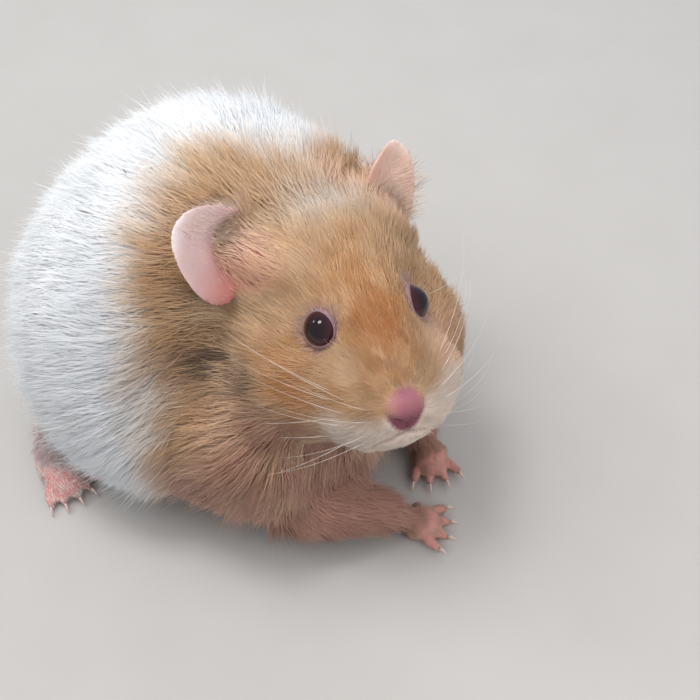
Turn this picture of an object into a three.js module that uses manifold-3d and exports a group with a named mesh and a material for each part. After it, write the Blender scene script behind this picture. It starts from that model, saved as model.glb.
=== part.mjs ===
// A Syrian hamster, life size, crouched on all fours with its head turned to its right.
// Units are millimetres. +X runs forwards along the trunk, +Y to the animal's left, +Z up.
// The floor is Z = 0. The surfaces are those of the coat, out to where its hairs end.
import * as THREE from "three";
import { mergeVertices } from "three/addons/utils/BufferGeometryUtils.js";
import Module from "manifold-3d";

// ---- Driving dimensions ----

const trunk = { length: 76, width: 78, height: 68 };
const head = { length: 46, width: 41, depth: 36, at: [31, 0, 46], yaw: -36.3, pitch: -12.6, roll: -3.1 };
const eye = { diameter: 6.8, at: [6.8, 7.9, 4.4] };
const ear = { length: 18, width: 18, thickness: 1.2, cup: 3 };
const nosePad = { at: [21.6, 0, -4], radii: [2.7, 3.4, 2.8] };
const foreLimb = { elbow: [24, 22.5, 13], radii: [10, 4.4] };
const hindLimb = { heel: [-25, 22, 5], radii: [5.5, 4] };
const foreFoot = { palm: [4.4, 3.5, 2.7], digits: 4, spread: 52, digitLength: 3.9, digitRadius: 1 };
const hindFoot = { palm: [7.5, 3.8, 2.9], digits: 5, spread: 50, digitLength: 3.6, digitRadius: 1.05 };
const claw = { length: 1.3, radii: [0.5, 0.3] };
const tail = { root: [-30, 0, 16], tip: [-41, 0, 12], radii: [3.4, 1.5] };
const cut = 0.3; // the width of the cuts between the named parts

// ---- Small helpers ----

const wasm = await Module();
wasm.setup();
const radians = THREE.MathUtils.degToRad;
const vec = (p) => new THREE.Vector3(...p);
const mirrored = (p, side) => [p[0], side * p[1], p[2]];
const turned = (turn, side) => [side * turn[0], turn[1], side * turn[2]];

// A closed three.js geometry as a solid that can be joined and cut.
function solid(geometry) {
  const bare = geometry.clone();
  bare.deleteAttribute("normal");
  bare.deleteAttribute("uv");
  const merged = mergeVertices(bare, 1e-4);
  return new wasm.Manifold(
    new wasm.Mesh({
      numProp: 3,
      vertProperties: merged.attributes.position.array,
      triVerts: new Uint32Array(merged.index.array),
    }),
  );
}

// A solid as a named, coloured mesh. A cut can leave slivers beside the piece, and only the piece is kept.
function part(name, made, material) {
  const piece = made.decompose().reduce((best, body) => (body.volume() > best.volume() ? body : best));
  const { numProp, vertProperties, triVerts } = piece.getMesh();
  const positions = new Float32Array((vertProperties.length / numProp) * 3);
  for (let i = 0; i < positions.length / 3; i++)
    positions.set(vertProperties.subarray(i * numProp, i * numProp + 3), i * 3);
  const geometry = new THREE.BufferGeometry()
    .setAttribute("position", new THREE.BufferAttribute(positions, 3))
    .setIndex(new THREE.BufferAttribute(triVerts, 1));
  geometry.computeVertexNormals();
  const mesh = new THREE.Mesh(geometry, material);
  mesh.name = name;
  return mesh;
}

// A box from one corner to the other, for flat cuts.
function slab(low, high) {
  const size = vec(high).sub(vec(low));
  const middle = vec(high).add(vec(low)).multiplyScalar(0.5);
  return new THREE.BoxGeometry(size.x, size.y, size.z).translate(middle.x, middle.y, middle.z);
}

// An egg shape: a ball drawn out to three radii, turned about its own axes, and put in place.
function egg(centre, radii, turn = [0, 0, 0], grow = 0, detail = 9) {
  return new THREE.IcosahedronGeometry(1, detail)
    .scale(radii[0] + grow, radii[1] + grow, radii[2] + grow)
    .applyQuaternion(new THREE.Quaternion().setFromEuler(new THREE.Euler(...turn.map(radians), "ZYX")))
    .translate(...centre);
}

// ---- The flesh as a field: negative inside, positive outside, about a millimetre per unit ----

// Distance to an egg shape.
function eggField(centre, radii, turn = [0, 0, 0]) {
  const c = vec(centre);
  const back = new THREE.Quaternion().setFromEuler(new THREE.Euler(...turn.map(radians), "ZYX")).invert();
  const r = vec(radii);
  const r2 = r.clone().multiply(r);
  return (p) => {
    const q = p.clone().sub(c).applyQuaternion(back);
    const k0 = q.clone().divide(r).length();
    const k1 = q.clone().divide(r2).length();
    return k1 < 1e-9 ? -Math.min(...radii) : (k0 * (k0 - 1)) / k1;
  };
}

// Distance to a limb that tapers from one round end to the other.
function limbField(from, to, fromRadius, toRadius) {
  const a = vec(from);
  const along = vec(to).sub(a);
  return (p) => {
    const q = p.clone().sub(a);
    const h = THREE.MathUtils.clamp(q.dot(along) / along.lengthSq(), 0, 1);
    return q.addScaledVector(along, -h).length() - THREE.MathUtils.lerp(fromRadius, toRadius, h);
  };
}

// Fields run together like soft clay, each over its own blending width.
function blend(entries) {
  return (p) =>
    entries.reduce((sum, [field, width]) => {
      const d = field(p);
      const h = Math.max(width - Math.abs(sum - d), 0) / width;
      return Math.min(sum, d) - (h * h * width) / 4;
    }, 1e3);
}

// A ball whose every point is carried outwards from the centre until it leaves the field.
function fleshBall(centre, field, detail, reach) {
  const geometry = new THREE.IcosahedronGeometry(1, detail);
  const points = geometry.attributes.position;
  const c = vec(centre);
  const direction = new THREE.Vector3();
  const steps = 40;
  for (let i = 0; i < points.count; i++) {
    direction.fromBufferAttribute(points, i).normalize();
    const at = (r) => field(c.clone().addScaledVector(direction, r));
    let inside = 0;
    let outside = reach;
    for (let s = 1; s <= steps; s++) {
      const r = (reach * s) / steps;
      if (at(r) > 0) {
        outside = r;
        break;
      }
      inside = r;
    }
    for (let s = 0; s < 24; s++) {
      const middle = (inside + outside) / 2;
      if (at(middle) > 0) outside = middle;
      else inside = middle;
    }
    points.setXYZ(i, ...c.clone().addScaledVector(direction, inside));
  }
  return geometry;
}

// ---- Trunk ----

const { length: TL, width: TW, height: TH } = trunk;
const thigh = {
  at: [-0.08 * TL, 0.28 * TW, 0.32 * TH],
  radii: [0.3 * TL, 0.18 * TW, 0.28 * TH],
  turn: [0, -10, 8],
};
const shoulder = {
  at: [0.27 * TL, 0.27 * TW, 0.34 * TH],
  radii: [0.17 * TL, 0.14 * TW, 0.28 * TH],
  turn: [0, 16, 0],
};
const trunkFlesh = [
  [eggField([-0.11 * TL, 0, 0.475 * TH], [0.38 * TL, 0.44 * TW, 0.45 * TH]), 1], // rump
  [eggField([-0.03 * TL, 0.09 * TW, 0.55 * TH], [0.36 * TL, 0.38 * TW, 0.475 * TH]), 8], // back
  [eggField([0.04 * TL, 0, 0.22 * TH], [0.38 * TL, 0.37 * TW, 0.26 * TH]), 8], // belly
  [eggField([0.29 * TL, -0.01 * TW, 0.36 * TH], [0.25 * TL, 0.29 * TW, 0.35 * TH], [0, -8, 0]), 9], // chest
  [eggField([0.2 * TL, 0.17 * TW, 0.65 * TH], [0.19 * TL, 0.24 * TW, 0.28 * TH]), 8], // far side of neck
  ...[-1, 1].flatMap((side) => [
    [eggField(mirrored(thigh.at, side), thigh.radii, turned(thigh.turn, side)), 6],
    [eggField(mirrored(shoulder.at, side), shoulder.radii, turned(shoulder.turn, side)), 5],
  ]),
];
const nape = [0.1 * TL, 0.08 * TW, 0.56 * TH];
const throat = [0.3 * TL, 0.04 * TW, 0.6 * TH];
const neckFlesh = [[limbField(nape, throat, 0.27 * TW, 0.19 * TW), 7]];

// ---- Head, in its own frame: +X towards the nose ----

const headGroup = new THREE.Group();
headGroup.position.set(...head.at);
headGroup.rotation.set(radians(head.roll), radians(head.pitch), radians(head.yaw), "ZYX");
headGroup.updateMatrix();
const intoHead = headGroup.matrix.clone().invert();

const { length: HL, width: HW, depth: HD } = head;
const cheek = { at: [-0.05 * HL, 0.26 * HW, -0.2 * HD], radii: [0.33 * HL, 0.285 * HW, 0.31 * HD] };
const whiskerPad = { at: [0.32 * HL, 0.11 * HW, -0.22 * HD], radii: [0.14 * HL, 0.165 * HW, 0.15 * HD] };
const cranium = { at: [-0.17 * HL, 0, 0.1 * HD], radii: [0.38 * HL, 0.36 * HW, 0.41 * HD] };
const headFlesh = [
  [eggField(cranium.at, cranium.radii), 6],
  [eggField([0.19 * HL, 0, -0.03 * HD], [0.26 * HL, 0.21 * HW, 0.26 * HD], [0, 18, 0]), 6],
  [limbField([0.1 * HL, 0, 0.11 * HD], [0.4 * HL, 0, -0.07 * HD], 0.2 * HD, 0.09 * HD), 6],
  [eggField([0.28 * HL, 0, -0.36 * HD], [0.16 * HL, 0.17 * HW, 0.14 * HD]), 7],
  ...[-1, 1].flatMap((side) => [
    [eggField(mirrored(cheek.at, side), cheek.radii, [0, 8, -side * 10]), 6],
    [eggField(mirrored(whiskerPad.at, side), whiskerPad.radii), 6],
  ]),
];

// The flesh of the whole animal, and of the trunk and neck with only the back of the head.
const fromHead = (field) => (p) => field(p.clone().applyMatrix4(intoHead));
const wholeField = blend([...trunkFlesh, ...neckFlesh, [fromHead(blend(headFlesh)), 6]]);
const bodyField = blend([...trunkFlesh, ...neckFlesh, [fromHead(eggField(cranium.at, cranium.radii)), 6]]);

// ---- Materials ----

const coat = (colour) => new THREE.MeshStandardMaterial({ color: colour, roughness: 0.85, metalness: 0 });
const whiteCoat = coat(0xe9e4dd);
const tanCoat = coat(0xc79a68);
const pinkSkin = new THREE.MeshStandardMaterial({ color: 0xd9a49a, roughness: 0.6, metalness: 0 });
const noseSkin = new THREE.MeshStandardMaterial({ color: 0xc9838a, roughness: 0.45, metalness: 0 });
const wetEye = new THREE.MeshStandardMaterial({ color: 0x1c0a10, roughness: 0.05, metalness: 0 });
const horn = new THREE.MeshStandardMaterial({ color: 0xe6d8cc, roughness: 0.35, metalness: 0 });

// ---- Limb pieces ----

// A limb, digit or claw: a ball drawn out along a line, from one thickness to the other, its middle raised.
function finger(from, to, [fromRadius, toRadius], rise, sides, rings) {
  const geometry = new THREE.SphereGeometry(1, sides, rings);
  geometry.rotateZ(-Math.PI / 2); // poles on X
  const a = vec(from);
  const along = vec(to).sub(a);
  const forward = along.clone().normalize();
  const across = new THREE.Vector3(0, 0, 1).cross(forward).normalize();
  const up = forward.clone().cross(across);
  const points = geometry.attributes.position;
  for (let i = 0; i < points.count; i++) {
    const [x, y, z] = [points.getX(i), points.getY(i), points.getZ(i)];
    const t = (x + 1) / 2;
    const ring = Math.max(Math.sqrt(y * y + z * z), 1e-9);
    const radius = THREE.MathUtils.lerp(fromRadius, toRadius, t) * Math.min(1, ring ** 0.55);
    const p = a.clone().addScaledVector(along, t).addScaledVector(up, rise * 4 * t * (1 - t));
    p.addScaledVector(across, (radius * y) / ring).addScaledVector(up, (radius * z) / ring);
    points.setXYZ(i, p.x, p.y, p.z);
  }
  return geometry;
}

const below = solid(slab([-200, -200, -50], [200, 200, 0]));
const onFloor = (made) => made.subtract(below);

// A paw: a palm with its digits spread like a fan, and the two ends of a claw for each digit.
function paw({ name, at, heading, palm, digits, spread, digitLength, digitRadius }, grow = 0) {
  const turn = (angle) => [Math.cos(radians(angle)), Math.sin(radians(angle))];
  let flesh = solid(egg([at[0], at[1], palm[2] * 0.86], palm, [0, 0, heading], grow, 2));
  const claws = [];
  const clawMade = (from, to, more) => solid(finger(from, to, claw.radii.map((r) => r + more), 0.3, 5, 3));
  for (let i = 0; i < digits; i++) {
    const share = i / (digits - 1) - 0.5;
    const [dx, dy] = turn(heading + spread * share);
    const reach = palm[0] * 0.62 + digitLength * (1 - 0.9 * share * share);
    const [sx, sy] = turn(heading + 90).map((v) => v * share * palm[1] * 1.35);
    const rootAt = [at[0] + sx + dx * 1.2, at[1] + sy + dy * 1.2, digitRadius * 1.35];
    const tipAt = [at[0] + sx + dx * reach, at[1] + sy + dy * reach, digitRadius * 0.9];
    const thick = [digitRadius * 1.15 + grow, digitRadius * 0.9 + grow];
    flesh = flesh.add(solid(finger(rootAt, tipAt, thick, 0.5, 6, 3)));
    const clawRoot = [tipAt[0] - dx * 0.6, tipAt[1] - dy * 0.6, tipAt[2] + 0.4];
    const clawTip = [tipAt[0] + dx * claw.length, tipAt[1] + dy * claw.length, 0.5];
    flesh = flesh.subtract(clawMade(clawRoot, clawTip, 0.15));
    claws.push([`${name}_claw_${i + 1}`, clawMade(clawRoot, clawTip, 0)]);
  }
  return { flesh: onFloor(flesh), claws };
}

// ---- Assembly ----

const hamster = new THREE.Group();
hamster.add(headGroup);
const sides = [
  ["right", -1],
  ["left", 1],
];

// An egg-shaped knife parts the head from the neck.
const headKnife = { at: [-0.01 * HL, 0, -0.02 * HD], radii: [0.6 * HL, 0.56 * HW, 0.58 * HD] };
const knifeField = eggField(headKnife.at, headKnife.radii);
const headReach = (p) => Math.max(wholeField(p.clone().applyMatrix4(headGroup.matrix)), knifeField(p) - 0.8);
let headSolid = solid(fleshBall([0, 0, 0], headReach, 6, 46)).intersect(
  solid(egg(headKnife.at, headKnife.radii, [0, 0, 0], 0, 3)),
);

// An ear: a ball pressed into a thin cupped dish, drawn out from its root along one direction.
function earDish(root, along, facing, grow = 0) {
  const geometry = new THREE.SphereGeometry(1, 18, 6).rotateX(Math.PI / 2);
  const points = geometry.attributes.position;
  const d = vec(along).normalize();
  const n = vec(facing).addScaledVector(d, -vec(facing).dot(d)).normalize();
  const w = n.clone().cross(d);
  for (let i = 0; i < points.count; i++) {
    const [x, y, z] = [points.getX(i), points.getY(i), points.getZ(i)];
    const lengthwise = ear.length * (0.5 + 0.5 * x) + grow * x;
    const sideways = (ear.width / 2) * y * (1 - 0.2 * x) + grow * y;
    const bend = ear.cup * (y * y * 0.9 + 0.35 * (0.5 + 0.5 * x) ** 2 - 0.5);
    const through = Math.sign(z) * Math.sqrt(Math.abs(z)) * (ear.thickness / 2 + grow) + bend;
    const p = vec(root).addScaledVector(d, lengthwise);
    p.addScaledVector(w, sideways).addScaledVector(n, through);
    points.setXYZ(i, p.x, p.y, p.z);
  }
  return geometry;
}
const ears = [
  ["ear_right", [-4.8, -14.9, 9.2], [-0.26, -0.66, 0.7], [0.72, 0.04, 0.69]],
  ["ear_left", [-11, 13.4, 7.5], [-0.5, 0.15, 0.85], [0.75, 0.5, 0.3]],
];

let bodySolid = solid(fleshBall([0, 0, 0.5 * TH], bodyField, 6, 90));
const headMatrix = headGroup.matrix.elements;
for (const [name, root, along, facing] of ears) {
  headGroup.add(part(name, solid(earDish(root, along, facing)), pinkSkin));
  const hole = solid(earDish(root, along, facing, cut));
  headSolid = headSolid.subtract(hole);
  bodySolid = bodySolid.subtract(hole.transform(headMatrix));
}
const ball = Array(3).fill(eye.diameter / 2);
for (const [name, side] of sides) {
  const at = mirrored(eye.at, side);
  headGroup.add(part(`eye_${name}`, solid(egg(at, ball, [0, 0, 0], 0, 2)), wetEye));
  headSolid = headSolid.subtract(solid(egg(at, ball, [0, 0, 0], cut, 2)));
}
headGroup.add(part("nose", solid(egg(nosePad.at, nosePad.radii, [0, 0, 0], 0, 2)), noseSkin));
headSolid = headSolid.subtract(solid(egg(nosePad.at, nosePad.radii, [0, 0, 0], cut, 2)));
headGroup.add(part("head", headSolid, tanCoat));

const headRoom = solid(egg(headKnife.at, headKnife.radii, [0, 0, 0], cut, 3));
bodySolid = onFloor(bodySolid.subtract(headRoom.transform(headMatrix)));

// The paws and feet, each with its own lie, and the forearms and shanks that end in them.
const forePaws = [
  { name: "right_forepaw", at: [49.5, -6, 0], heading: 20 },
  { name: "left_forepaw", at: [44, 9, 0], heading: -46 },
].map((lie) => ({ ...foreFoot, ...lie }));
const hindFeet = [
  { name: "right_hind_foot", at: [-18.5, -31, 0], heading: -22 },
  { name: "left_hind_foot", at: [-15, 32, 0], heading: 18 },
].map((lie) => ({ ...hindFoot, ...lie }));

function limb(spec, name, from, radii) {
  const [side] = spec.name.split("_");
  const to = [spec.at[0], spec.at[1], spec.palm[2] * 1.25];
  const made = paw(spec);
  const room = paw(spec, cut).flesh;
  const drawn = (grow) => solid(finger(from, to, radii.map((r) => r + grow), 1.2, 10, 6));
  const shank = onFloor(drawn(0).subtract(room));
  bodySolid = bodySolid.subtract(drawn(cut).add(room));
  hamster.add(part(spec.name, made.flesh, pinkSkin));
  hamster.add(part(`${side}_${name}`, shank, whiteCoat));
  for (const [clawName, clawSolid] of made.claws) hamster.add(part(clawName, clawSolid, horn));
}
limb(forePaws[0], "forearm", mirrored(foreLimb.elbow, -1), foreLimb.radii);
limb(forePaws[1], "forearm", foreLimb.elbow, foreLimb.radii);
limb(hindFeet[0], "shank", mirrored(hindLimb.heel, -1), hindLimb.radii);
limb(hindFeet[1], "shank", hindLimb.heel, hindLimb.radii);

const tailMade = (grow) => solid(finger(tail.root, tail.tip, tail.radii.map((r) => r + grow), 1, 10, 8));
hamster.add(part("tail", tailMade(0), pinkSkin));
bodySolid = bodySolid.subtract(tailMade(cut));

// Egg-shaped knives part the neck, thighs and upper arms from the trunk.
const neckKnife = { at: [0.32 * TL, 0.02 * TW, 0.66 * TH], radii: [0.29 * TL, 0.37 * TW, 0.37 * TH] };
const thighKnife = { at: [-0.08 * TL, 0.34 * TW, 0.3 * TH], radii: [0.28 * TL, 0.2 * TW, 0.29 * TH] };
const armKnife = { at: [0.29 * TL, 0.3 * TW, 0.3 * TH], radii: [0.16 * TL, 0.15 * TW, 0.27 * TH] };
const knives = [
  ["neck", tanCoat, neckKnife.at, neckKnife.radii, [0, 0, -24]],
  ...sides.flatMap(([name, side]) => [
    [`${name}_thigh`, whiteCoat, mirrored(thighKnife.at, side), thighKnife.radii, [0, 0, 0]],
    [`${name}_upper_arm`, tanCoat, mirrored(armKnife.at, side), armKnife.radii, [0, 0, 0]],
  ]),
];
for (const [name, material, at, radii, turn] of knives) {
  const knife = (grow) => solid(egg(at, radii, turn, grow, 2));
  hamster.add(part(name, bodySolid.intersect(knife(0)), material));
  bodySolid = bodySolid.subtract(knife(cut));
}
hamster.add(part("trunk", bodySolid, whiteCoat));

// The origin goes to the middle of the box's underside, on the floor.
const box = new THREE.Box3().setFromObject(hamster, true);
hamster.position.set(-(box.min.x + box.max.x) / 2, -(box.min.y + box.max.y) / 2, -box.min.z);

export default hamster;
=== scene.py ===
"""A Syrian hamster, life size, crouched with its head turned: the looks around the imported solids."""

import bmesh
import bpy
import numpy as np
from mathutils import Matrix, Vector


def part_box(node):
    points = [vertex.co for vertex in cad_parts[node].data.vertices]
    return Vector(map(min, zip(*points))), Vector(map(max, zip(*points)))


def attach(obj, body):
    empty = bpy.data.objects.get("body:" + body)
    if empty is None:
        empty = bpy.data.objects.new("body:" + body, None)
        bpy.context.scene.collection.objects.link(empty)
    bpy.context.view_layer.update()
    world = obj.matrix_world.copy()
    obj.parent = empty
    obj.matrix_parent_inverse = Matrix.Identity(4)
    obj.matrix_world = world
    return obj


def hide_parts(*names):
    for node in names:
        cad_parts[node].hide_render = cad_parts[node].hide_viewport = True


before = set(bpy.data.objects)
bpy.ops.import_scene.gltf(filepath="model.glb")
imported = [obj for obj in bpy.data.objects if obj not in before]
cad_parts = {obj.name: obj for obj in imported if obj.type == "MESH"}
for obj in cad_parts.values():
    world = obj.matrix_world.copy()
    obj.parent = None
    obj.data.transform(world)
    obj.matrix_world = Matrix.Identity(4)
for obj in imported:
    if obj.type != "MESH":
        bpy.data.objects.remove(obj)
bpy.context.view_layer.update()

# ---- The animal's own directions ----
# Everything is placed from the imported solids: the eyes and the nose give the head its own frame,
# in which F runs to the nose, S to the animal's left and T to the crown. Lengths are in millimetres
# until a mesh is written.

MM = 0.001
NOSE_SLOPE = np.radians(29.6)  # how far the nose lies below the brow, seen from the side
BROW = np.array([6.8, 0.0, 4.4])  # the point between the eyes, in the head's own frame


def span(vectors):
    """How long each vector is."""
    return np.linalg.norm(vectors, axis=-1)


def unit(vectors):
    """Each vector divided by its own length."""
    return vectors / np.maximum(span(vectors)[..., None], 1e-9)


def centre(node):
    """The middle of a solid's box."""
    low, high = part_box(node)
    return (np.array(low) + np.array(high)) / 2 / MM


def centres(nodes):
    """The middles of several solids' boxes."""
    return np.array([centre(node) for node in nodes])


brow_at = (centre("eye_right") + centre("eye_left")) / 2
nose_at = centre("nose")
LEFT = unit(centre("eye_left") - centre("eye_right"))
slope = nose_at - brow_at
slope = unit(slope - (slope @ LEFT) * LEFT)
risen = np.cross(slope, LEFT)
HEAD_AXES = np.array([
    np.cos(NOSE_SLOPE) * slope + np.sin(NOSE_SLOPE) * risen,
    LEFT,
    np.cos(NOSE_SLOPE) * risen - np.sin(NOSE_SLOPE) * slope,
])
head_at = brow_at - BROW @ HEAD_AXES


def on_head(points):
    """Points in the head's own frame: forwards, leftwards, upwards."""
    return (points - head_at) @ HEAD_AXES.T


def ramp(low, high, values):
    """0 below low, 1 above high, and 3t^2 - 2t^3 between them."""
    t = np.clip((values - low) / (high - low), 0, 1)
    return t * t * (3 - 2 * t)


def hill(points, middle, radii):
    """1 at the middle, falling as e^(-d^2), where d is the distance measured in radii."""
    return np.exp(-(((points - middle) / radii) ** 2).sum(-1))


LATTICE = np.random.default_rng(11).random((24, 24, 24))


def drift(points, size, shift=0.0):
    """A soft random field from -1 to 1: random numbers on a lattice, blended between by 3t^2 - 2t^3."""
    q = points / size + shift
    low = np.floor(q).astype(int)
    t = q - low
    t = t * t * (3 - 2 * t)
    total = 0
    for i, j, k in np.ndindex(2, 2, 2):
        corner = (low + [i, j, k]) % 24
        weight = np.where([i, j, k], t, 1 - t).prod(-1)
        total = total + weight * LATTICE[tuple(corner.T)]
    return 2 * total - 1


# ---- Skin ----
# One soft skin over the whole animal: thin, pink, and bare only on the ears, nose, paws and feet.
# It is poured over the solids of flesh as one closed surface, smoothed, and drawn in by the depth
# of the coat; the lids, nostrils, lips and the folds of the ears are then pressed into it.

PAWS = ["right_forepaw", "left_forepaw", "right_hind_foot", "left_hind_foot"]
LIMBS = ["right_forearm", "left_forearm", "right_shank", "left_shank"]
ARMS = ["right_upper_arm", "left_upper_arm"]
THIGHS = ["right_thigh", "left_thigh"]
EARS = ["ear_right", "ear_left"]
EYES = ["eye_right", "eye_left"]
GROUPS = [["trunk"], ["neck"], ["head"], THIGHS, ARMS, LIMBS, PAWS, EARS, ["tail"], ["nose"], EYES]
TRUNK, NECK, HEAD, THIGH, ARM, LIMB, PAW, EAR, TAIL, NOSE, EYE = range(len(GROUPS))
#           trunk neck head thigh arm limb  paw   ear   tail nose eye
COAT_DEPTH = [5.0, 4.6, 1.9, 4.6, 4.2, 2.2, 0.12, 0.10, 0.35, 0.0, 0.5]
SMOOTHED = [1.0, 1.0, 0.55, 1.0, 1.0, 1.0, 0.12, 0.12, 0.4, 0.4, 0.4]  # how much smoothing each takes
VOXEL = 0.42
BRIDGE = 0.2  # each solid is grown by this, so that the cuts between them close
FINE_REACH, FINEST_REACH = 5.2, 4.4  # the faces are split this near the eyes and nose, then the eyes

shell = bmesh.new()
group_layer = shell.verts.layers.float.new("group")
for number, members in enumerate(GROUPS):
    for node in members:
        start = len(shell.verts)
        shell.from_mesh(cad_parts[node].data)
        shell.verts.ensure_lookup_table()
        for vertex in shell.verts[start:]:
            vertex[group_layer] = number
bmesh.ops.remove_doubles(shell, verts=shell.verts, dist=1e-6)
shell.normal_update()
for vertex in shell.verts:
    vertex.co += BRIDGE * MM * vertex.normal
skin_mesh = bpy.data.meshes.new("skin")
shell.to_mesh(skin_mesh)
shell.free()


def stand(name, data):
    """A new object in the scene, at the origin."""
    thing = bpy.data.objects.new(name, data)
    bpy.context.scene.collection.objects.link(thing)
    return thing


skin = stand("skin", skin_mesh)
bpy.context.view_layer.objects.active = skin
skin_mesh.remesh_voxel_size = VOXEL * MM
skin_mesh.use_remesh_preserve_attributes = True
skin_mesh.use_remesh_preserve_volume = False
skin_mesh.use_remesh_fix_poles = False
bpy.ops.object.voxel_remesh()


def keep_largest(surface):
    """Deletes every island of the mesh but the one with the most vertices."""
    left = set(surface.verts)
    islands = []
    while left:
        island = {left.pop()}
        edge_of_it = set(island)
        while edge_of_it:
            edge_of_it = {e.other_vert(v) for v in edge_of_it for e in v.link_edges} - island
            island |= edge_of_it
        left -= island
        islands.append(island)
    islands.sort(key=len)
    bmesh.ops.delete(surface, geom=[v for island in islands[:-1] for v in island], context="VERTS")


def refine(surface, near, reach):
    """Splits the faces within reach of any of the points in four."""
    surface.verts.index_update()
    points = np.array([v.co for v in surface.verts]) / MM
    close = (span(points[:, None] - near) < reach).any(1)
    edges = [e for e in surface.edges if close[e.verts[0].index] and close[e.verts[1].index]]
    bmesh.ops.subdivide_edges(surface, edges=edges, cuts=1, use_grid_fill=True)


surface = bmesh.new()
surface.from_mesh(skin_mesh)
keep_largest(surface)
eyes_at = centres(EYES)
refine(surface, np.vstack([eyes_at, nose_at]), FINE_REACH)
refine(surface, eyes_at, FINEST_REACH)
bmesh.ops.triangulate(surface, faces=[f for f in surface.faces if len(f.verts) > 4])
surface.to_mesh(skin_mesh)
surface.free()


def read(collection, name, width, kind=np.float32):
    """One property of all the items of a mesh, as rows of an array."""
    values = np.empty(len(collection) * width, kind)
    collection.foreach_get(name, values)
    return values.reshape(-1, width) if width > 1 else values


def solid_points(node):
    """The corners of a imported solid."""
    return read(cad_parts[node].data.vertices, "co", 3).astype(float) / MM


points = read(skin_mesh.vertices, "co", 3).astype(float) / MM
edges = read(skin_mesh.edges, "vertices", 2, np.int32)
ends = np.r_[edges[:, 0], edges[:, 1]]
others = np.r_[edges[:, 1], edges[:, 0]]
neighbours = np.bincount(ends, minlength=len(points))
group = read(skin_mesh.attributes["group"].data, "value", 1).round().astype(int)
weights = (group[:, None] == np.arange(len(GROUPS))).astype(float)


def softened(values, share, rounds):
    """In each round every value moves towards the mean of its neighbours, by its own share."""
    for _ in range(rounds):
        sums = [np.bincount(ends, column, len(values)) for column in values[others].T]
        values = values + share[:, None] * (np.stack(sums, 1) / neighbours[:, None] - values)
    return values


def skin_normals(at):
    """The surface's own normals with its points moved to new places."""
    skin_mesh.vertices.foreach_set("co", (at * MM).astype(np.float32).ravel())
    skin_mesh.update()
    return read(skin_mesh.vertex_normals, "vector", 3).astype(float)


# Each ear has a frame of its own: its root, the ways along and across it, and the way that it faces.
EAR_LONG, EAR_HALF = 17.0, 8.5
MOUTH_FRONT, MOUTH_UP = 4.0, 2.0  # where an ear's opening lies from its root
ear_frames = []
for node in EARS:
    rim = solid_points(node)
    middle = rim.mean(0)
    facing = np.linalg.svd(rim - middle)[2][2]
    facing = facing * np.sign(facing @ HEAD_AXES[0])
    root = rim[np.argsort(span(rim - head_at))[: len(rim) // 8]].mean(0)
    along = unit(middle - root - ((middle - root) @ facing) * facing)
    ear_frames.append((root, along, np.cross(facing, along), facing))
ear_mouths = [root + MOUTH_FRONT * facing + MOUTH_UP * along for root, along, _, facing in ear_frames]

# The groups run into one another a little, and the long-haired ones over some 5 mm.
BLEND_ROUNDS, BROAD_ROUNDS = 24, 90
SMOOTH_ROUNDS, LAST_ROUNDS = 40, 8
half = np.full(len(points), 0.5)
weights = softened(weights, half, BLEND_ROUNDS)
broad = [TRUNK, NECK, HEAD, THIGH, ARM, LIMB]
free = np.clip(weights[:, broad].sum(1), 0, 1)
spread = softened(weights[:, broad], 0.5 * free, BROAD_ROUNDS)
weights[:, broad] = spread * (free / np.maximum(spread.sum(1), 1e-6))[:, None]
points = softened(points, 0.5 * weights @ SMOOTHED, SMOOTH_ROUNDS)


def waves(turn):
    """The slow cosines and sines that a smooth outline is the sum of."""
    return np.hstack([np.cos(np.outer(turn, np.arange(4))), np.sin(np.outer(turn, np.arange(1, 4)))])


# The ears' thin rims are drawn to a smooth outline, then evened out by steps in and out.
RIM_PARTS = 120
RIM_FROM, RIM_TO = -1.65, 2.15  # how far round from its tip each ear's rim stands free, in radians
RIM_REACH, RIM_THICK = 14.0, 6.0  # how far from an ear's middle, and from its plane, its own skin lies
RIM_ROUNDS, STEP_IN, STEP_OUT = 30, 0.6, -0.62
part_turns = ((np.arange(RIM_PARTS) + 0.5) / RIM_PARTS - 0.5) * 2 * np.pi
for node, (_, along, across, facing) in zip(EARS, ear_frames):
    local = points - solid_points(node).mean(0)
    flat = local - (local @ facing)[:, None] * facing
    radius = span(flat)
    turn = np.arctan2(flat @ across, flat @ along)
    part = ((turn / (2 * np.pi) + 0.5) * RIM_PARTS).astype(int) % RIM_PARTS
    on_ear = (radius < RIM_REACH) & (np.abs(local @ facing) < RIM_THICK) & (weights[:, EAR] > 0.8)
    outline = np.ones(RIM_PARTS)
    np.maximum.at(outline, part[on_ear], radius[on_ear])
    rim = (part_turns > RIM_FROM) & (part_turns < RIM_TO)
    smooth = np.linalg.lstsq(waves(part_turns[rim]), outline[rim], rcond=None)[0]
    now = np.interp(turn, part_turns, outline)
    grown = (waves(turn) @ smooth / now - 1) * np.minimum(radius / now, 1) ** 5
    grown *= on_ear * ramp(RIM_FROM, RIM_FROM + 0.4, turn) * ramp(RIM_TO, RIM_TO - 0.3, turn)
    points = points + grown[:, None] * flat
for _ in range(RIM_ROUNDS):
    points = softened(points, STEP_IN * weights[:, EAR], 1)
    points = softened(points, STEP_OUT * weights[:, EAR], 1)

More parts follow.
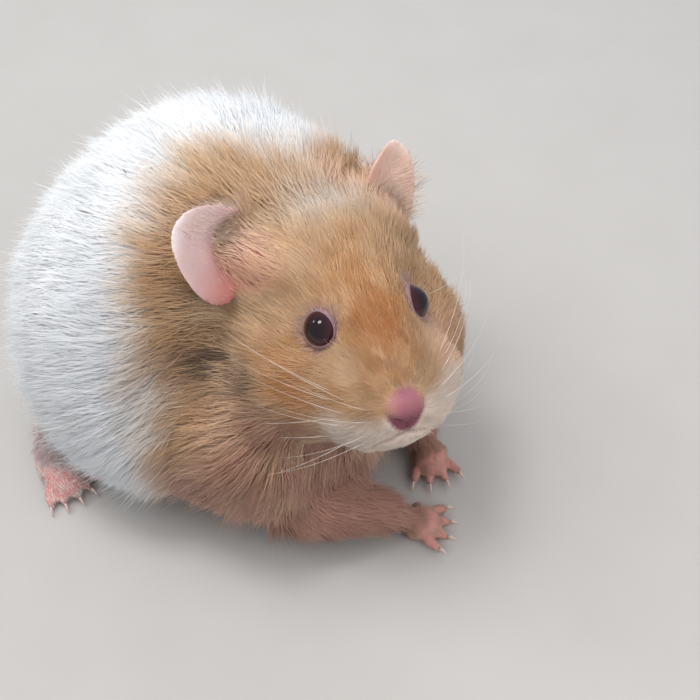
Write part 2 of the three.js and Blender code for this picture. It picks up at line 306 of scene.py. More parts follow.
# The skin is drawn in by the coat's depth, which is less on the muzzle, by the ears and near the floor.
MUZZLE_THIN, MOUTH_THIN = 0.72, 0.6
FLOOR_SLOPE, FLOOR_DEPTH = 0.55, 1.2
NOSE_ROUNDS = 34
muzzle = ramp(4, 15, on_head(points)[:, 0]) * (weights[:, HEAD] + weights[:, NOSE])
mouth_gaps = np.min([span(points - mouth) for mouth in ear_mouths], 0)
depth = weights @ COAT_DEPTH * (1 - MUZZLE_THIN * muzzle) * (1 - MOUTH_THIN * ramp(10, 5, mouth_gaps))
depth = np.minimum(depth, FLOOR_SLOPE * np.maximum(points[:, 2], 0.2) + FLOOR_DEPTH)
points = points - depth[:, None] * softened(skin_normals(points), half, 6)
points = softened(points, 0.5 * weights @ SMOOTHED, LAST_ROUNDS)
nose_f, nose_s, nose_t = on_head(nose_at)
by_nose = hill(on_head(points), [nose_f - 0.6, 0, nose_t + 0.8], [3.4, 4.4, 4.2])
points = softened(points, 0.5 * by_nose, NOSE_ROUNDS)
points[:, 2] = np.maximum(points[:, 2], 0.02)

# The lids: round each eye the skin follows a ball a little larger than the eye up to the opening,
# where it turns in behind the eye's surface.
LID_OPENING, LID_STRETCH = np.radians([60, 4])  # the half-angle, and how much it grows along the head
LID_THICK, LID_TUCK = 0.2, 0.7  # how far before and behind the eye's surface the skin runs
LID_EDGE, LID_BLEND = (-0.13, 0.06), (0.05, 0.42)  # in radians beyond the opening
LID_REACH, LID_END = 6.5, 1.9  # the skin further out, or turned further from the axis, stays
eye_low, eye_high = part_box("eye_right")
eye_radius = (eye_high.z - eye_low.z) / 2 / MM
eye_axes = []
for eye_at in eyes_at:
    away = points - eye_at
    radius = span(away)
    axis = unit(skin_normals(points)[radius < 6].mean(0))
    eye_axes.append(axis)
    forwards = unit(HEAD_AXES[0] - (HEAD_AXES[0] @ axis) * axis)
    upwards = np.cross(axis, forwards)
    turn = np.arccos(np.clip(unit(away) @ axis, -1, 1))
    around = np.arctan2(away @ upwards, away @ forwards)
    opening = LID_OPENING + LID_STRETCH * np.cos(2 * around)
    lid = eye_radius - LID_TUCK + (LID_TUCK + LID_THICK) * ramp(*LID_EDGE, turn - opening)
    blend = ramp(*LID_BLEND, turn - opening)
    shaped = eye_at + unit(away) * (lid * (1 - blend) + np.maximum(radius, lid) * blend)[:, None]
    points = np.where(((radius < LID_REACH) & (turn < LID_END))[:, None], shaped, points)

# The nostrils are two commas low on the nose, with a groove between them down to the lips. The
# whisker pads, the fuller left cheek and the lower lip stand out.
NOSTRIL_OUT, NOSTRIL_DOWN = 1.75, 1.5
NOSTRIL_WIDE, NOSTRIL_TALL = 0.62, 0.4
LIP_DEPTH, GROOVE_DEPTH = 0.8, 0.3
normals = skin_normals(points)
f, s, t = on_head(points).T
beside = np.abs(s - nose_s)
in_front = ramp(8, 13, f)
sunk = t - nose_t + NOSTRIL_DOWN - 0.5 * (beside - 1.7)
nostril = np.exp(-(((beside - NOSTRIL_OUT) / NOSTRIL_WIDE) ** 2 + (sunk / NOSTRIL_TALL) ** 2))
nostril *= ramp(nose_f - 0.9, nose_f + 0.4, f)
groove = np.exp(-((beside / 0.22) ** 2)) * ramp(nose_t + 0.2, nose_t - 1.0, t) * ramp(-10.6, -9.8, t)
lip_line = -9.2 - 0.25 * beside - 0.035 * beside**2
lips = np.exp(-(((t - lip_line) / 0.4) ** 2)) * ramp(6.5, 4.5, beside)
near_lips = in_front * np.exp(-(((t - lip_line) / 1.4) ** 2)) * ramp(5.5, 3.0, beside)
pressed = nostril + GROOVE_DEPTH * groove + LIP_DEPTH * lips
for height, across, middle, radii in (
    (1.7, beside, [16.0, 5.8, -5.8], [5.0, 3.2, 3.8]),  # whisker pads
    (2.0, s, [14.5, 11.0, -4.5], [5.0, 4.0, 4.2]),  # left cheek
    (1.1, beside, [19.0, 0.0, -11.2], [3.0, 3.6, 1.7]),  # lower lip
):
    pressed -= height * hill(np.stack([f, across, t], 1), middle, radii)
points = points - (in_front * pressed)[:, None] * normals

# The ears: shallow ribs run up the inside of each, and its canal opens at the root.
EAR_FOLD = (0.0, 0.5)  # how much narrower each ear's tip is drawn: the left one is half folded
RIB_DEPTH, RIBS, CANAL_DEPTH = 0.12, 9, 0.3
ear_places = np.zeros((len(points), 2))  # how far up the ear a point lies, and how far across it
for (root, along, across, facing), fold in zip(ear_frames, EAR_FOLD):
    local = points - root
    up_ear, side_ear = local @ along / EAR_LONG, local @ across / EAR_HALF
    near_ear = (span(local) < 22) & (np.abs(local @ facing) < 8)
    ear_places = np.where(near_ear[:, None], np.stack([up_ear, side_ear], 1), ear_places)
    inside = weights[:, EAR] * ramp(-0.1, 0.5, skin_normals(points) @ facing) * near_ear
    ribs = 0.5 + 0.5 * np.cos(RIBS * np.arctan2(side_ear, up_ear + 0.35) + 2 * drift(points, 6))
    ribs *= ramp(0.25, 0.5, up_ear) * ramp(1.0, 0.75, np.hypot(side_ear, 2 * up_ear - 1))
    canal = np.exp(-((side_ear / 0.34) ** 2) - ((up_ear - 0.12) / 0.2) ** 2)
    points = points - (inside * (RIB_DEPTH * ribs + CANAL_DEPTH * canal))[:, None] * normals
    folded = fold * weights[:, EAR] * near_ear * ramp(0.1, 0.9, up_ear) * side_ear * EAR_HALF
    points = points - folded[:, None] * across

normals = skin_normals(points)

# ---- Markings ----
# White covers the rump, flanks and belly; a golden tan collar runs over the shoulders and the head,
# deepest on the brow and cheeks, greyer on the crown and behind the ear. Skin and hair share them.


def tint(red, green, blue):
    """A colour given from 0 to 255 as a screen shows it, as the linear values that light uses."""
    return (np.array([red, green, blue]) / 255) ** 2.2


WHITE = tint(246, 248, 251)
MILK = tint(244, 226, 212)
CREAM = tint(224, 192, 158)
# The blush is partly the skin's own pink and partly painted shade, darkened for the shade on the lower
# chest and legs.
SHADED_BLUSH = tint(174, 124, 113)
TAN = tint(187, 142, 101)
GOLD = tint(190, 132, 80)
AMBER = tint(172, 108, 60)
PEACH = tint(240, 194, 168)
SLATE = tint(206, 198, 188)
UMBER = tint(104, 86, 74)
BARE_PINK = tint(202, 138, 134)
EAR_BASE = tint(182, 114, 106)
EAR_TIP = tint(200, 174, 172)
EAR_FLUFF = tint(255, 228, 212)
NOSE_TOP = tint(152, 94, 106)
NOSE_DEEP = tint(100, 40, 60)
OPENING_SHADE = tint(52, 18, 28)
LID_LILAC = tint(134, 112, 118)
LID_HAIR = tint(168, 142, 138)
# A reddish brown for the hair below each ear's opening: painted shade.
EAR_SHADOW_BROWN = tint(160, 104, 86)


def washed(colours, *washes):
    """Colours moved towards one colour after another, each by a share for every point."""
    for colour, share in washes:
        colours = colours + share[:, None] * (colour - colours)
    return colours


# Soft patches, laid one over another: what its middle is counted from, the colour, its share at the
# middle, the middle and the radii. On the head the second number runs outwards, on both sides alike.
PATCHES = [
    ("head", GOLD, 0.85, [9, 1, 10], [11, 7, 7]),  # brow
    ("head", GOLD, 0.6, [5, 16.5, 0], [6, 5, 5]),  # cheek
    ("head", AMBER, 0.85, [12.5, 1, 8], [7, 5.5, 5.5]),  # bridge of the nose
    ("head", AMBER, 0.8, [10, 15, -4.5], [5.5, 5, 3.8]),  # lower cheek
    ("head", CREAM, 0.4, [12.5, 7.5, 2], [3.5, 3, 3]),  # below the eye
    ("head", CREAM, 0.6, [18, 6.5, -3.5], [3.2, 3, 2.8]),  # whisker pad
    # The left cheek's peach is partly its own colour and partly painted light, lighter where that cheek
    # is lit.
    ("left", PEACH, 0.8, [11.5, 12, -1], [8.5, 5.5, 6]),  # cheek
    ("left", PEACH, 0.85, [-16, 6, 20.5], [5, 5, 7]),  # nape by the ear
    ("floor", CREAM, 0.6, [-6.5, 1, 68.5], [6, 7, 6]),  # top of the back
    ("head", SLATE, 0.95, [-11, 2, 20.5], [5.5, 8, 8]),  # crown
    ("head", EAR_FLUFF, 0.8, [-9.5, 18, 15.5], [3.5, 4, 3.5]),  # before the ear
]
# Behind the cheek the ruff is streaked with umber, and pale wisps lie between its parts.
RUFF = [
    (1, [-6, 24.5, 9.5], [5.5, 6, 3.6]),
    (1, [-0.6, 24, -5.5], [6, 6, 5]),
    (1, [-3.5, 27, -2], [5.5, 7, 5]),
    (0.6, [7.5, 25, -11.5], [4, 5, 3.5]),
]
WISPS = [(1, [-3.5, 24.5, 4.2], [5, 4, 2.6]), (0.6, [4, 30, -14], [4, 4, 4])]


def coat_colour(at):
    """The colour of the coat at points of the body: soft-edged patches, each laid over the last."""
    x, y, z = at.T
    f, s, t = on_head(at).T
    side = np.abs(s)
    face = np.stack([f, side, t], 1)
    placed = {"head": face, "left": np.stack([f, s, t], 1), "floor": at}
    ragged = 3.4 * drift(at, 8) + 1.5 * drift(at, 3, 5)
    collar = x + 0.42 * (np.clip(z, 34, 61) - 36) + ragged
    collar -= np.clip(y - 2, 0, 14) * ramp(42, 58, z)
    on_face = ramp(27, 21, span(face * [0.8, 1, 1]))
    colours = washed(
        np.tile(WHITE, (len(at), 1)),
        (CREAM, 0.5 * ramp(-8, -1, collar)),
        (TAN, ramp(-2.5, 3.0, collar) * ramp(12, 30, z)),
        (SHADED_BLUSH, 0.85 * ramp(-5, 3, collar) * ramp(30, 17, z)),
        # The chest below the chin takes more of the blush: its pink, and painted shade under the head.
        (SHADED_BLUSH, 0.75 * ramp(3, 10, x) * ramp(44, 36, z)),
        (CREAM, 0.5 * ramp(0.1, 0.6, drift(at, 5, 8)) * ramp(0, 5, collar)),
        (CREAM, 0.4 * on_face * ramp(-0.1, 0.8, drift(at, 4.5, 2))),
        *((colour, share * hill(placed[by], *form)) for by, colour, share, *form in PATCHES),
    )
    streaks = 0.25 + 0.75 * ramp(-0.3, 0.3, drift(at * [1, 1, 0.35], 1.7, 3))
    ruff, wisps = (sum(share * hill(face, *form) for share, *form in forms) for forms in (RUFF, WISPS))
    edge_of_white = t - 0.15 * np.clip(s, -5, 0) - 0.34 * np.clip(s, 0, 9)
    white_muzzle = ramp(12.5, 17.5, f) * ramp(-3.0, -6.8, edge_of_white)
    white_muzzle += hill(face, [15, 4, -14], [7, 6, 5])
    colours = washed(
        colours,
        (CREAM, 0.65 * np.clip(wisps + 0.5 * ruff * (1 - streaks), 0, 1)),
        (UMBER, 0.95 * np.clip(ruff, 0, 1) * streaks),
        (MILK, 0.9 * np.clip(white_muzzle, 0, 1)),
    )
    return np.clip(colours, 0, 1)


def leather_at(at):
    """How far the nose's bare leather shows: a rounded heart, soft where it runs up into the bridge."""
    f, s, t = on_head(at).T
    below = np.maximum(nose_t - t, 0)
    spread = np.stack([0.8 * (f - nose_f), (0.92 + 0.04 * below) * s, 0.7 * (t - nose_t + 0.7)], 1)
    return ramp(3.9, 2.4, span(spread)) * ramp(14.5, 17.5, f)


eye_gaps = np.min([span(points - eye_at) for eye_at in eyes_at], 0)
leather = leather_at(points)
bare = np.clip(weights[:, [PAW, EAR, TAIL]].sum(1) + 0.35 * weights[:, LIMB], 0, 1)
up_ear = ear_places[:, 0]
f, s, t = on_head(points).T
ear = weights[:, EAR]
backlit_left = points @ LEFT > head_at @ LEFT
skin_colours = washed(
    coat_colour(points) * 0.92,
    (BARE_PINK, np.clip(0.1 + bare, 0, 1)),
    (EAR_BASE, np.clip(ear + ramp(7.5, 4.5, mouth_gaps), 0, 1)),
    (EAR_TIP, ear * ramp(0.1, 0.75, up_ear)),
    # The left ear's skin is painted lighter peach: painted light, shining through it from behind.
    (PEACH, 0.6 * ear * backlit_left),
    (WHITE, 0.6 * ear * ramp(0.75, 1.02, up_ear)),
    (LID_LILAC, ramp(eye_radius + 0.8, eye_radius + 0.3, eye_gaps)),
    (NOSE_TOP, leather),
    (NOSE_DEEP, 0.95 * leather * ramp(nose_t + 1.2, nose_t - 1.9, t)),
    # The nostrils and the line of the lips are painted near black: painted shade inside the openings.
    (OPENING_SHADE, in_front * np.clip(0.95 * nostril + 0.85 * lips, 0, 1)),
)


class Wire:
    """A shader value that can be written into sums: every operator adds its own Math node."""

    def __init__(self, socket):
        self.socket = socket

    def made(self, kind, settings, *inputs):
        """Any node: its type, its settings, and what each input socket holds."""
        tree = self.socket.id_data
        node = tree.nodes.new(kind)
        for name, value in settings.items():
            setattr(node, name, value)
        for slot, value in inputs:
            if isinstance(value, Wire):
                tree.links.new(value.socket, node.inputs[slot])
            else:
                node.inputs[slot].default_value = value
        return node

    def maths(self, operation, one, two):
        settings = {"operation": operation}
        return Wire(self.made("ShaderNodeMath", settings, (0, one), (1, two)).outputs[0])

    def __add__(self, other):
        return self.maths("ADD", self, other)

    def __mul__(self, other):
        return self.maths("MULTIPLY", self, other)

    def __sub__(self, other):
        return self.maths("SUBTRACT", self, other)

    def __rsub__(self, other):
        return self.maths("SUBTRACT", other, self)

    __radd__ = __add__
    __rmul__ = __mul__

    def mixed(self, other, share):
        """This colour moved towards another by a share."""
        node = self.made("ShaderNodeMix", {"data_type": "RGBA"}, (0, share), (6, self), (7, other))
        return Wire(node.outputs[2])

    def noise(self, scale, detail=2.0):
        """Soft noise over these coordinates."""
        inputs = (("Vector", self), ("Scale", scale), ("Detail", detail))
        return Wire(self.made("ShaderNodeTexNoise", {}, *inputs).outputs[0])

    def bumped(self, strength, distance):
        """These heights as a bend of the surface's normal."""
        inputs = (("Strength", strength), ("Distance", distance), ("Height", self))
        return Wire(self.made("ShaderNodeBump", {}, *inputs).outputs[0])


def finish(name, settings):
    """A new material, its shader with fixed sockets set, and its Object coordinates as a wire."""
    material = bpy.data.materials.new(name)
    material.use_nodes = True
    shader = material.node_tree.nodes["Principled BSDF"]
    for socket, value in settings.items():
        shader.inputs[socket].default_value = value
    coordinates = Wire(material.node_tree.nodes.new("ShaderNodeTexCoord").outputs["Object"])
    return material, shader, coordinates


def attribute(coordinates, name, output="Color"):
    """A value kept on the mesh's own points."""
    return Wire(coordinates.made("ShaderNodeAttribute", {"attribute_name": name}).outputs[output])


def shade(coordinates, colour):
    """One fixed colour as a wire."""
    wire = Wire(coordinates.made("ShaderNodeRGB", {}).outputs[0])
    wire.socket.default_value = (*colour, 1)
    return wire


def join(wire, shader, socket):
    """Feeds a wire into one of the shader's sockets."""
    shader.id_data.links.new(wire.socket, shader.inputs[socket])


flesh = {"Subsurface Weight": 0.12, "Subsurface Scale": 0.0008, "Specular IOR Level": 0.35}
skin_look, shader, place = finish("skin", flesh)
shader.inputs["Subsurface Radius"].default_value = (1.0, 0.35, 0.25)
pores = place.noise(2600.0)
veins = place.noise(420.0)
own = attribute(place, "colour")
join(own.mixed((0.62, 0.27, 0.25, 1), veins * 0.18), shader, "Base Color")
join(0.62 - pores * 0.25, shader, "Roughness")
join(pores.bumped(0.35, 0.00012), shader, "Normal")


def give(mesh, name, values):
    """Keeps a number, or a colour with an alpha of one, for each point on the mesh."""
    kind, key = ("FLOAT", "value") if values.ndim == 1 else ("FLOAT_COLOR", "color")
    values = values if values.ndim == 1 else np.c_[values, np.ones(len(values))]
    layer = mesh.attributes.new(name, kind, "POINT")
    layer.data.foreach_set(key, values.astype(np.float32).ravel())


skin_mesh.calc_loop_triangles()
faces = read(skin_mesh.loop_triangles, "vertices", 3, np.int32)
skin_mesh.attributes.remove(skin_mesh.attributes["group"])
give(skin_mesh, "colour", skin_colours)
skin_mesh.materials.clear()
skin_mesh.materials.append(skin_look)
skin_mesh.shade_smooth()

# Under the long coat the skin needs few faces, so those are merged there.
KEPT_SHARE = 0.47
plain = weights[:, [TRUNK, NECK, THIGH, ARM]].sum(1) > 0.6
under_coat = skin.vertex_groups.new(name="under_coat")
under_coat.add(np.nonzero(plain)[0].tolist(), 1.0, "REPLACE")
thinning = skin.modifiers.new("thinning", "DECIMATE")
thinning.ratio = KEPT_SHARE
thinning.vertex_group = "under_coat"
bpy.context.view_layer.update()
thinned = bpy.data.meshes.new_from_object(skin.evaluated_get(bpy.context.evaluated_depsgraph_get()))
skin.modifiers.clear()
skin.vertex_groups.clear()
skin.data = thinned
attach(skin, "root")
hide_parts(*[node for members in GROUPS[:EYE] for node in members])

# ---- Eyes ----
# Two wet, dark ruby balls deep in their lids, a little fuller at the front where the cornea is.


def grid_mesh(name, grid, round_u, cap=False):
    """A surface from a grid of points, four to a face, closed round u and capped if asked."""
    rows, columns = grid.shape[:2]
    number = np.arange(rows * columns).reshape(rows, columns)
    a, b = number[:-1], number[1:]
    if round_u:
        corners = [a, np.roll(a, -1, 1), np.roll(b, -1, 1), b]
    else:
        corners = [a[:, :-1], a[:, 1:], b[:, 1:], b[:, :-1]]
    quads = np.stack([c.ravel() for c in corners], 1).tolist()
    if cap:
        quads += [number[0, ::-1].tolist(), number[-1].tolist()]
    mesh = bpy.data.meshes.new(name)
    mesh.from_pydata((grid.reshape(-1, 3) * MM).tolist(), [], quads)
    return mesh


def piece_from(meshes, name, look):
    """Meshes joined as one smooth piece, with poles merged and faces pointing outwards."""
    joined = bmesh.new()
    for mesh in meshes:
        joined.from_mesh(mesh)
        bpy.data.meshes.remove(mesh)
    bmesh.ops.remove_doubles(joined, verts=joined.verts, dist=1e-7)
    bmesh.ops.recalc_face_normals(joined, faces=joined.faces)
    mesh = bpy.data.meshes.new(name)
    joined.to_mesh(mesh)
    joined.free()
    mesh.materials.append(look)
    mesh.shade_smooth()
    return stand(name, mesh)


EYE_RINGS, EYE_SIDES = 40, 56
CORNEA = 0.05  # how much further the cornea stands out, as a share of the radius

for node, eye_at, axis in zip(EYES, eyes_at, eye_axes):
    polar = np.linspace(0, np.pi, EYE_RINGS)[:, None]
    around = np.linspace(0, 2 * np.pi, EYE_SIDES, endpoint=False)[None]
    side_way = unit(np.cross(axis, [0, 0, 1]))
    up_way = np.cross(side_way, axis)
    radius = eye_radius * (1 + CORNEA * np.exp(-((polar / 0.6) ** 2)))
    outwards = np.cos(polar)[..., None] * axis + np.sin(polar)[..., None] * (
        np.cos(around)[..., None] * side_way + np.sin(around)[..., None] * up_way
    )
    grid = eye_at + radius[..., None] * outwards
    eye_look, shader, place = finish(f"{node}_ball", {"Roughness": 0.04, "Specular IOR Level": 0.5})
    middle = tuple((eye_at + axis * eye_radius) * MM)
    gap = place.made("ShaderNodeVectorMath", {"operation": "DISTANCE"}, (0, place), (1, middle))
    rim = Wire(gap.outputs["Value"]) * (1 / (0.95 * eye_radius * MM))
    pupil = shade(place, (0.006, 0.0012, 0.003))
    join(pupil.mixed((0.05, 0.008, 0.016, 1), rim * rim * rim), shader, "Base Color")
    eye = piece_from([grid_mesh(node, grid, True)], f"{node}_ball", eye_look)
    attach(eye, "root")
    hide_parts(node)

# ---- Claws ----
# Eighteen small curved claws of pale horn, one at the end of each digit, round at the root and
# drawn out to a blunt point that curves down.

CLAW_ROOT, CLAW_TIP, CLAW_ARCH = 0.44, 0.09, 0.25
CLAW_NARROW, CLAW_REACH = 0.8, 0.85  # its width beside its height; how far it fills the solid
horn, shader, place = finish("claw_horn", {"Coat Weight": 0.15})
grain = place.noise(1500.0)
join(shade(place, (0.6, 0.42, 0.37)).mixed((0.74, 0.6, 0.53, 1), grain), shader, "Base Color")
join(0.3 + grain * 0.2, shader, "Roughness")


def tube(name, spine, girth, across, raised, sides):
    """A closed ring round each point of a spine: spine + girth * (cos u * across + sin u * raised)."""
    around = np.linspace(0, 2 * np.pi, sides, endpoint=False)[:, None]
    ring = np.cos(around) * across + np.sin(around) * raised
    return grid_mesh(name, spine[:, None] + girth[..., None] * ring, True, cap=True)


claw_nodes = sorted(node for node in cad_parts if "claw" in node)
claws = []
for node in claw_nodes:
    horn_points = solid_points(node)
    middle = horn_points.mean(0)
    line = np.linalg.svd(horn_points - middle)[2][0]
    line = line * np.sign(line @ (middle - centre(node.split("_claw")[0])))
    reach = (horn_points - middle) @ line
    root, tip = middle + line * reach.min(), middle + line * (CLAW_REACH * reach.max())
    share = np.linspace(0, 1, 9)[:, None]
    width = (CLAW_ROOT * (1 - share) ** 0.7 + CLAW_TIP * share) * np.minimum(1, 6 * share + 0.4)
    spine = root + share * (tip - root) + np.array([0, 0, CLAW_ARCH]) * 4 * share * (1 - share)
    across = unit(np.cross([0, 0, 1], line))
    claws.append(tube(node, spine, width, CLAW_NARROW * across, np.cross(line, across), 10))
claws = piece_from(claws, "claws", horn)
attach(claws, "root")
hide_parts(*claw_nodes)

# ---- Coat ----
# Fur in tufts: each is a closed, three-sided lock that leaves the skin, bends over and runs with the
# lie of the coat, from the nose backwards, down the flanks and out along the limbs. Short straight
# locks of undercoat fill the gaps between. It is long and soft on the body, finest on face and feet.

#            trunk neck head thigh arm  limb  paw   ear   tail nose eye
HAIR_LENGTH = [9.6, 8.6, 4.6, 9.6, 8.0, 5.0, 1.2, 0.9, 1.8, 0.0, 0.0]
HAIR_WIDTH = [0.19, 0.18, 0.125, 0.19, 0.18, 0.14, 0.085, 0.065, 0.12, 0.1, 0.1]
HAIR_RISE = np.radians([46, 42, 25, 44, 42, 34, 24, 18, 24, 0, 0])
HAIR_COUNT = [4.7, 6.0, 9.6, 4.7, 6.0, 7.6, 6.0, 1.0, 7.0, 0.0, 0.0]  # on a square millimetre
UNDER_COUNT = [4.4, 5.3, 8.4, 4.4, 5.3, 5.6, 0.0, 0.0, 0.0, 0.0, 0.0]
UNDER_SHARE, UNDER_WIDTH = 0.62, 1.1  # an undercoat lock's length and width beside a long one's
LONG_RINGS = np.array([0.0, 0.5])  # where a lock's rings lie along it; its point closes it
UNDER_RINGS = np.array([0.0])
LOCK_SIDES = 3
ROOTED = 0.35  # how deep a root starts below the skin, in widths
CLUMP = 2.6  # how wide a clump of locks is
LEAN = 0.42  # how far the tips of a clump draw together
GUARD_SHARE, GUARD_LENGTH, GUARD_WIDTH = 0.07, 1.25, 0.7  # the few longer, finer guard hairs,
GUARD_RISE = 2.2  # and how far they may stand out of the coat
TUFT_LENGTH, FRINGE_LENGTH, LONG_FRINGE = 4.4, 1.6, 1.8
COAT_FILL, LEAST_RISE = 0.85, 0.35  # a tip may rise by this share of the coat's depth, and this more
EAR_RISE, PAD_RISE = 1.3, 0.9  # what the ears' hair and the whisker pads' may rise further
STEEPER = np.radians([16, 20])  # how much more steeply the tufts and the fringe leave the skin
FLATTENS = 0.42  # a tip's slope beside its root's
PATCH = 0.003  # the size of a lock's patch on the OFBake map

rng = np.random.default_rng(20)
limbs_at, paws_at = centres(LIMBS), centres(PAWS)
claws_at = np.array([centres(n for n in claw_nodes if n.startswith(paw)).mean(0) for paw in PAWS])
small_parts = [  # each small part's group, its middles, and the ways that its hair runs
    (LIMB, limbs_at, unit(paws_at - limbs_at)),
    (PAW, paws_at, unit(claws_at - paws_at)),
    (EAR, centres(EARS), np.array([along for _, along, _, _ in ear_frames])),
    (TAIL, centres(["tail"]), np.array([[-1.0, 0.0, -0.4]])),
]
BODY_WAY = np.array([-0.85, 0.0, -0.42])
FROM_HEAD = 0.55  # how much the body's coat also runs straight away from the head
PARTING, PARTING_REACH = 1.3, 6.5  # how strongly, and how far out, the hair leaves an eye


def nearest(at, middles):
    """For each point, which of a few middles is nearest."""
    return span(at[:, None] - middles).argmin(1)


def tangent(ways, out):
    """Directions laid flat on the surface, as unit vectors."""
    return unit(ways - (ways * out).sum(1, keepdims=True) * out)


def lie_of_coat(at, out, shares):
    """The way the coat lies: the regions' ways in their shares, stirred a little, laid on the skin."""
    from_nose = unit(at - nose_at)
    from_head = unit(at - head_at)
    body_way = FROM_HEAD * from_head + BODY_WAY
    body_share = shares[:, [TRUNK, THIGH, ARM]].sum(1) + 0.6 * shares[:, NECK]
    head_share = shares[:, [HEAD, NOSE, EYE]].sum(1) + 0.4 * shares[:, NECK]
    way = body_share[:, None] * body_way + head_share[:, None] * from_nose
    for part, middles, ways in small_parts:
        way = way + shares[:, [part]] * ways[nearest(at, middles)]
    for eye_at in eyes_at:
        gap = span(at - eye_at)
        way = way + (PARTING * ramp(PARTING_REACH, 3.6, gap))[:, None] * unit(at - eye_at)
    wide = np.stack([drift(at, 13, k) for k in (1, 7, 13)], 1)
    close = np.stack([drift(at, 4.5, k) for k in (3, 9, 15)], 1)
    way = way + (0.16 + 0.3 * body_share)[:, None] * wide + (0.16 + 0.14 * body_share)[:, None] * close
    return tangent(way, out)


def cells(at, size, seed):
    """The nearest of a jittered lattice of points, as a number for each point: cells like a foam's."""
    jitter = np.random.default_rng(seed).random((16, 16, 16, 3))
    home = np.floor(at / size).astype(int)
    best = np.full(len(at), np.inf)
    label = np.zeros(len(at), int)
    for step in np.ndindex(3, 3, 3):
        cell = home + np.array(step) - 1
        wrapped = cell % 16
        gap = span((cell + jitter[tuple(wrapped.T)]) * size - at)
        number = (cell + 512) @ np.array([1 << 20, 1 << 10, 1])
        closer = gap < best
        best = np.where(closer, gap, best)
        label = np.where(closer, number, label)
    return np.unique(label, return_inverse=True)[1]


def group_mean(values, label):
    """The mean of the values that share a label, given back to each of them."""
    count = np.bincount(label)
    sums = [np.bincount(label, column) for column in values.T]
    return (np.stack(sums, 1) / count[:, None])[label]


def eight_sided(ways):
    """Directions as points of a square: their ball is pressed to an octahedron, and opened flat."""
    flat = ways / np.abs(ways).sum(1, keepdims=True)
    x, y, z = flat.T
    folded_x = np.where(z < 0, (1 - np.abs(y)) * np.where(x < 0, -1, 1), x)
    folded_y = np.where(z < 0, (1 - np.abs(x)) * np.where(y < 0, -1, 1), y)
    return np.stack([folded_x, folded_y], 1) * 0.5 + 0.5


# Where the hair grows: more to the millimetre on the muzzle and on the ears' inner halves, less under
# the belly and by the ears' openings, and none on the bare leather, the lips and the lids.
LIPS_BARE, BELLY_THIN, OPENING_THIN = 0.9, 0.6, 0.6
MUZZLE_MORE, FRINGE_MORE = 0.9, 2
corners = points[faces]
sides = corners[:, 1:] - corners[:, :1]
face_areas = span(np.cross(sides[:, 0], sides[:, 1])) / 2
face_shares = weights[faces].mean(1)
faces_at = corners.mean(1)
face_down = -unit(normals[faces].mean(1))[:, 2]
face_muzzle = ramp(6, 18, on_head(faces_at)[:, 0]) * face_shares[:, HEAD]
thinned_out = 1 - ramp(0.25, 0.95, leather[faces].mean(1))
thinned_out *= 1 - LIPS_BARE * (in_front * lips)[faces].mean(1)
thinned_out *= 1 - BELLY_THIN * ramp(0.5, 0.9, face_down) * face_shares[:, [TRUNK, THIGH]].sum(1)
thinned_out *= ramp(eye_radius + 0.05, eye_radius + 0.35, eye_gaps[faces].mean(1))
thinned_out *= 1 + MUZZLE_MORE * face_muzzle
face_up_ear, face_side_ear = ear_places[faces].mean(1).T
face_left = (faces_at @ LEFT > head_at @ LEFT).astype(float)  # the left ear has the longer fringe
face_fringe = ramp(0.15, -0.25, face_side_ear - 0.5 * face_left) * ramp(0.95, 0.6, face_up_ear)
face_fringe *= face_shares[:, EAR]
by_opening = ramp(7.5, 4.5, mouth_gaps[faces].mean(1))
thinned_out *= (1 + FRINGE_MORE * face_fringe) * (1 - OPENING_THIN * by_opening)


def rooted(crowding):
    """Random places, so many to the square millimetre: their faces, and shares of the corners."""
    each = (crowding * face_areas + rng.random(len(faces))).astype(int)
    chosen = np.repeat(np.arange(len(faces)), each)
    one, two = rng.random((2, len(chosen)))
    over = one + two > 1
    one, two = np.where(over, 1 - one, one), np.where(over, 1 - two, two)
    return chosen, np.stack([1 - one - two, one, two], 1)


long_faces, long_parts = rooted(face_shares @ HAIR_COUNT * thinned_out)
under_faces, under_parts = rooted(face_shares @ UNDER_COUNT * thinned_out)
chosen = np.r_[long_faces, under_faces]
parts = np.r_[long_parts, under_parts][..., None]
under = np.arange(len(chosen)) >= len(long_faces)
roots = (parts * corners[chosen]).sum(1)
out = unit((parts * normals[faces[chosen]]).sum(1))
shares = face_shares[chosen]
on_muzzle = face_muzzle[chosen]
lid_gap = eye_gaps[faces[chosen]].mean(1)
fringe = face_fringe[chosen]
long_fringe = fringe * face_left[chosen]

# How each lock grows. By an ear's root the hair leans over its opening, and a fringe runs up the
# ear's inner half, longest on the left ear.
mouth_gap = mouth_gaps[faces[chosen]].mean(1)
tufted = ramp(9.5, 4.5, mouth_gap) * shares[:, [HEAD, NECK]].sum(1)
on_pad = ramp(2.5, 5.5, np.abs(on_head(roots)[:, 1])) * on_muzzle
length = shares @ HAIR_LENGTH * (1 - 0.6 * on_muzzle + 0.25 * on_pad)
length *= 0.3 + 0.7 * ramp(eye_radius, eye_radius + 4, lid_gap)
length *= 1 - 0.65 * near_lips[faces[chosen]].mean(1)
length *= 1 + 0.3 * ramp(10, -14, on_head(roots)[:, 0]) * shares[:, HEAD]
length *= 1 + 0.25 * ramp(26, 12, roots[:, 2]) * shares[:, [TRUNK, THIGH]].sum(1)
length += (TUFT_LENGTH - length) * tufted + FRINGE_LENGTH * fringe + LONG_FRINGE * long_fringe
length *= rng.normal(1, 0.12, len(roots)).clip(0.65, 1.25)
guard = (rng.random(len(roots)) < GUARD_SHARE) & ~under
length *= np.where(guard, GUARD_LENGTH, 1) * np.where(under, UNDER_SHARE, 1)
width = shares @ HAIR_WIDTH * (1 - 0.42 * on_muzzle) * rng.uniform(0.8, 1.2, len(roots))
